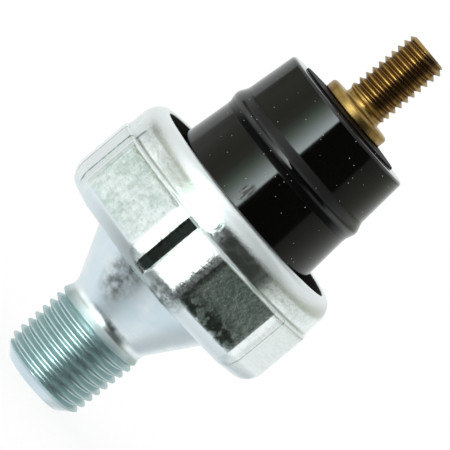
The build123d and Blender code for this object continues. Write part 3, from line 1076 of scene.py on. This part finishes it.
class SENDER_OT_inner(bpy.types.Operator):
    """Contact spring, and the finishes of the solids inside"""

    bl_idname = "sender.inner"
    bl_label = "Inner Pieces"

    def execute(self, context):
        finish = context.scene.sender_finish
        size = context.scene.sender_stud
        paints = {
            "brass": inner_metal_paint("stamped_brass", finish.brass, 0.25),
            "plain_steel": inner_metal_paint("plain_steel", finish.steel, 0.3),
            "silver": inner_metal_paint("silver", finish.silver, 0.12),
            "spring_steel": inner_metal_paint("spring_steel", finish.steel, 0.22),
            "amber_film": inner_soft_paint("amber_film", finish.film, 0.15, 300),
            "pale_insulator": inner_soft_paint("pale_insulator", finish.plunger, 0.4, 500),
            "seal_rubber": inner_soft_paint("seal_rubber", finish.rubber, 0.5, 900),
            "gasket_fibre": inner_soft_paint("gasket_fibre", finish.fibre, 0.8, 1500),
        }
        for entry in frame["record"]["subparts"]:
            if entry["material_slot"] in paints:
                for slot in frame["nodes"][entry["node"]].material_slots:
                    slot.material = paints[entry["material_slot"]]
        wire = size.wire / 2
        mesh = run_tree(spring_tree("spring", paints["spring_steel"]), {
            "Bottom": spring_low.z, "Top": spring_high.z, "Coil Radius": spring_high.x - wire,
            "Wire Radius": wire, "Coils": size.coils, "Rows": 220, "Around": 17,
        })
        shape = bmesh.new()
        shape.from_mesh(mesh)
        spring = finish_piece(
            "spring", shape, "housing", paints["spring_steel"], "contact_spring",
            weighted=False,
        )
        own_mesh(spring)
        return {"FINISHED"}


# Brightness of the studio round the object, by degrees from the camera's side: level with it and
# a little above, just below, and high up.
UPPER_BANDS = (
    (-180, 1.0), (-150, 0.95), (-122, 0.85), (-120.5, 0.28), (-114, 0.25), (-108, 0.34),
    (-98, 0.44), (-80, 0.48), (-60, 0.45), (-46, 0.55), (-36, 1.1), (-27, 2.3), (-18, 4.2),
    (-9, 6.8), (-6, 7.5), (-4, 7.5), (-2.5, 0.03), (60, 0.04), (64, 0.05), (67, 0.25),
    (92, 0.36), (110, 0.42), (145, 0.55), (180, 1.0),
)
LOWER_BANDS = (
    (-180, 1.0), (-120, 0.9), (-106, 1.0), (-98, 1.35), (-86, 1.4), (-77, 1.1), (-60, 1.15),
    (-52, 1.35), (-44, 1.6), (-34, 2.4), (-26, 4.0), (-8, 5.0), (-4.5, 5.0), (-2.8, 0.03),
    (50, 0.04), (57, 0.09), (61, 0.14), (64, 0.4), (72, 0.85), (82, 1.1), (120, 1.05), (180, 1.0),
)
HIGH_BANDS = (
    (-180, 1.0), (-125, 0.87), (-96, 0.86), (-82, 0.95), (-69, 1.05), (-57, 1.15), (-48, 1.7),
    (-16, 1.6), (-6, 1.05), (4, 0.82), (20, 0.84), (37, 0.7), (59, 0.54), (72, 0.48),
    (84, 0.62), (98, 0.88), (120, 0.85), (150, 0.9), (180, 1.0),
)
BRIGHTEST = 8.0
# Colour casts of the bands, each up to a brightness.
GREEN_CASTS = (
    (0.6, (0.96, 1.0, 0.84)), (1.0, (0.97, 1.0, 0.99)), (3.0, (0.80, 1.0, 0.84)),
    (BRIGHTEST, (0.86, 1.0, 0.97)),
)
PALE_CASTS = ((0.5, (0.85, 1.0, 0.90)), (BRIGHTEST, (0.97, 1.0, 1.0)))
# Soft dark cards: heading, elevation, half width and height in degrees, and how dark.
DARK_CARDS = (
    (-36, -62, 44, 22, 0.6), (6, -36, 33, 20, 1.0), (26, 56, 28, 18, 0.25), (160, 58, 34, 16, 0.8),
    (118, -38, 36, 22, 0.4),
)
CARD = (0.045, 0.064, 0.062)
# The studio below the bands, what soft light meets, and what the camera sees.
FLOOR_GLOW = (0.84, 0.91, 0.95)
PALE = (0.9, 0.9, 0.9)
WHITE = (1, 1, 1)


def ray_kinds(tree):
    """Shares of the camera's own rays, and of those that a gloss or a clear body sends on."""
    path = tree.nodes.new("ShaderNodeLightPath").outputs
    return path["Is Camera Ray"], Formula(tree).most(path["Is Glossy Ray"], path["Is Transmission Ray"])


class SENDER_OT_stage(bpy.types.Operator):
    """Floor, light and camera"""

    bl_idname = "sender.stage"
    bl_label = "Stage"

    def execute(self, context):
        self.light(context)
        self.floor(context)
        self.camera(context)
        context.scene.view_settings.view_transform = "Standard"
        return {"FINISHED"}

    def light(self, context):
        """World that is white to the camera and a studio of bright and dark cards to gloss."""
        world = bpy.data.worlds.new("studio")
        context.scene.world = world
        world.use_nodes = True
        tree = world.node_tree
        tree.nodes.clear()
        rule = Formula(tree)
        direct, sent_on = ray_kinds(tree)
        seen = rule.mix(sent_on, PALE, self.studio(tree))
        seen = rule.mix(direct, seen, WHITE)
        back = add_node(tree, "ShaderNodeBackground", {"Color": seen})
        add_node(tree, "ShaderNodeOutputWorld", {0: back.outputs[0]})

    def studio(self, tree):
        """Colour of the studio in each direction: its bands, the glow below them and the cards."""
        rule = Formula(tree)
        view = tree.nodes.new("ShaderNodeTexCoord").outputs["Generated"]
        way = add_node(tree, "ShaderNodeSeparateXYZ", {0: view})
        heading = rule("ARCTAN2", way.outputs[1], way.outputs[0])
        rise = rule("ARCSINE", way.outputs[2])
        leaning = rule.times(rule.blend(rise, -0.2, 0.2, -0.2, 0.2), 0.45)
        heading = rule.plus(heading, leaning)
        share = rule.plus(rule("DIVIDE", heading, TURN), 0.5)
        upper = self.bands(tree, share, UPPER_BANDS, GREEN_CASTS)
        lower = self.bands(tree, share, LOWER_BANDS, PALE_CASTS)
        high = self.bands(tree, share, HIGH_BANDS, PALE_CASTS)
        ring = rule.mix(rule.blend(rise, radians(2.5), radians(-3)), upper, lower)
        ring = rule.mix(rule.blend(rise, radians(9), radians(24), smooth=True), ring, high)
        lit = add_node(tree, "ShaderNodeVectorMath", {0: ring, "Scale": BRIGHTEST}, operation="SCALE")
        below = rule.blend(rise, radians(-16), radians(-40), smooth=True)
        mixed = rule.mix(below, lit.outputs[0], FLOOR_GLOW)
        for turn, drop, width, depth, strength in DARK_CARDS:
            aside = rule("DIVIDE", rule("SUBTRACT", heading, radians(turn)), radians(width))
            down = rule("DIVIDE", rule("SUBTRACT", rise, radians(drop)), radians(depth))
            far = rule("SQRT", rule.plus(rule("POWER", aside, 2), rule("POWER", down, 2)))
            mixed = rule.mix(rule.blend(far, 0.5, 1.2, strength, 0.0, smooth=True), mixed, CARD)
        return mixed

    def bands(self, tree, share, stops, casts):
        """Colour ramp round the studio, as a share of its brightest part."""
        ramp = add_node(tree, "ShaderNodeValToRGB", {0: share})
        elements = ramp.color_ramp.elements
        while len(elements) > 1:
            elements.remove(elements[-1])
        for index, (degrees, value) in enumerate(stops):
            stop = elements[0] if index == 0 else elements.new(0.5 + degrees / 360)
            stop.position = 0.5 + degrees / 360
            cast = next(colour for limit, colour in casts if value <= limit)
            stop.color = (*(value / BRIGHTEST * channel for channel in cast), 1)
        return ramp.outputs[0]

    def floor(self, context):
        """Pale floor that only the camera and soft light see."""
        shape = bmesh.new()
        bmesh.ops.create_grid(shape, x_segments=2, y_segments=2, size=1.0)
        mesh = bpy.data.meshes.new("floor")
        shape.to_mesh(mesh)
        shape.free()
        floor = put_in_scene("floor", mesh)
        material = bpy.data.materials.new("pale_floor")
        material.use_nodes = True
        tree = material.node_tree
        shader = tree.nodes["Principled BSDF"]
        shader.inputs["Base Color"].default_value = (*PALE, 1)
        shader.inputs["Roughness"].default_value = 0.9
        direct, sent_on = ray_kinds(tree)
        white = add_node(tree, "ShaderNodeEmission", {"Strength": 1.05})
        unseen = tree.nodes.new("ShaderNodeBsdfTransparent")
        whitened = Formula(tree).times(direct, 0.8)
        seen = add_node(tree, "ShaderNodeMixShader", {
            0: whitened, 1: shader.outputs[0], 2: white.outputs[0],
        })
        mirrored = add_node(tree, "ShaderNodeMixShader", {
            0: sent_on, 1: seen.outputs[0], 2: unseen.outputs[0],
        })
        tree.links.new(mirrored.outputs[0], tree.nodes["Material Output"].inputs[0])
        mesh.materials.append(material)

    def camera(self, context):
        """Camera at the photograph's angle, rolled so that the upright object leans."""
        studio = context.scene.sender_studio
        turn, rise, roll = studio.azimuth, studio.elevation, studio.roll
        toward = Vector((cos(rise) * cos(turn), cos(rise) * sin(turn), sin(rise)))
        level = (-toward).cross(Vector((0, 0, 1))).normalized()
        upright = level.cross(-toward)
        right = level * cos(roll) + upright * sin(roll)
        up = upright * cos(roll) - level * sin(roll)
        camera = put_in_scene("camera", bpy.data.cameras.new("camera"))
        camera.data.lens = studio.lens
        camera.data.sensor_width = 36
        camera.data.clip_start = 0.01
        place = Vector((0, 0, studio.look_height)) + toward * studio.distance
        place += right * studio.slide_right + up * studio.slide_up
        camera.matrix_world = Matrix.Translation(place) @ Matrix((right, up, toward)).transposed().to_4x4()
        context.scene.camera = camera


class SENDER_PT_panel(bpy.types.Panel):
    """Lists the sender's pieces"""

    bl_label = "Oil Pressure Sender"
    bl_space_type = "VIEW_3D"
    bl_region_type = "UI"
    bl_category = "Sender"

    def draw(self, context):
        for maker in MAKERS:
            self.layout.operator(maker.bl_idname)


MAKERS = (
    SENDER_OT_fitting, SENDER_OT_shell, SENDER_OT_cap, SENDER_OT_stud, SENDER_OT_inner,
    SENDER_OT_stage,
)
GROUPS = {
    "sender_fitting": FittingSizes,
    "sender_shell": ShellSizes,
    "sender_cap": CapSizes,
    "sender_stud": StudSizes,
    "sender_finish": Finishes,
    "sender_studio": Studio,
}


def register():
    """Register the property groups, operators and panel."""
    for name, group in GROUPS.items():
        bpy.utils.register_class(group)
        setattr(bpy.types.Scene, name, bpy.props.PointerProperty(type=group))
    for maker in (*MAKERS, SENDER_PT_panel):
        bpy.utils.register_class(maker)


def unregister():
    """Undo register."""
    for maker in reversed((*MAKERS, SENDER_PT_panel)):
        bpy.utils.unregister_class(maker)
    for name, group in GROUPS.items():
        delattr(bpy.types.Scene, name)
        bpy.utils.unregister_class(group)


def main():
    """Build every piece in order."""
    register()
    bpy.ops.sender.fitting()
    bpy.ops.sender.shell()
    bpy.ops.sender.cap()
    bpy.ops.sender.stud()
    bpy.ops.sender.inner()
    bpy.ops.sender.stage()


if __name__ == "__main__":
    main()
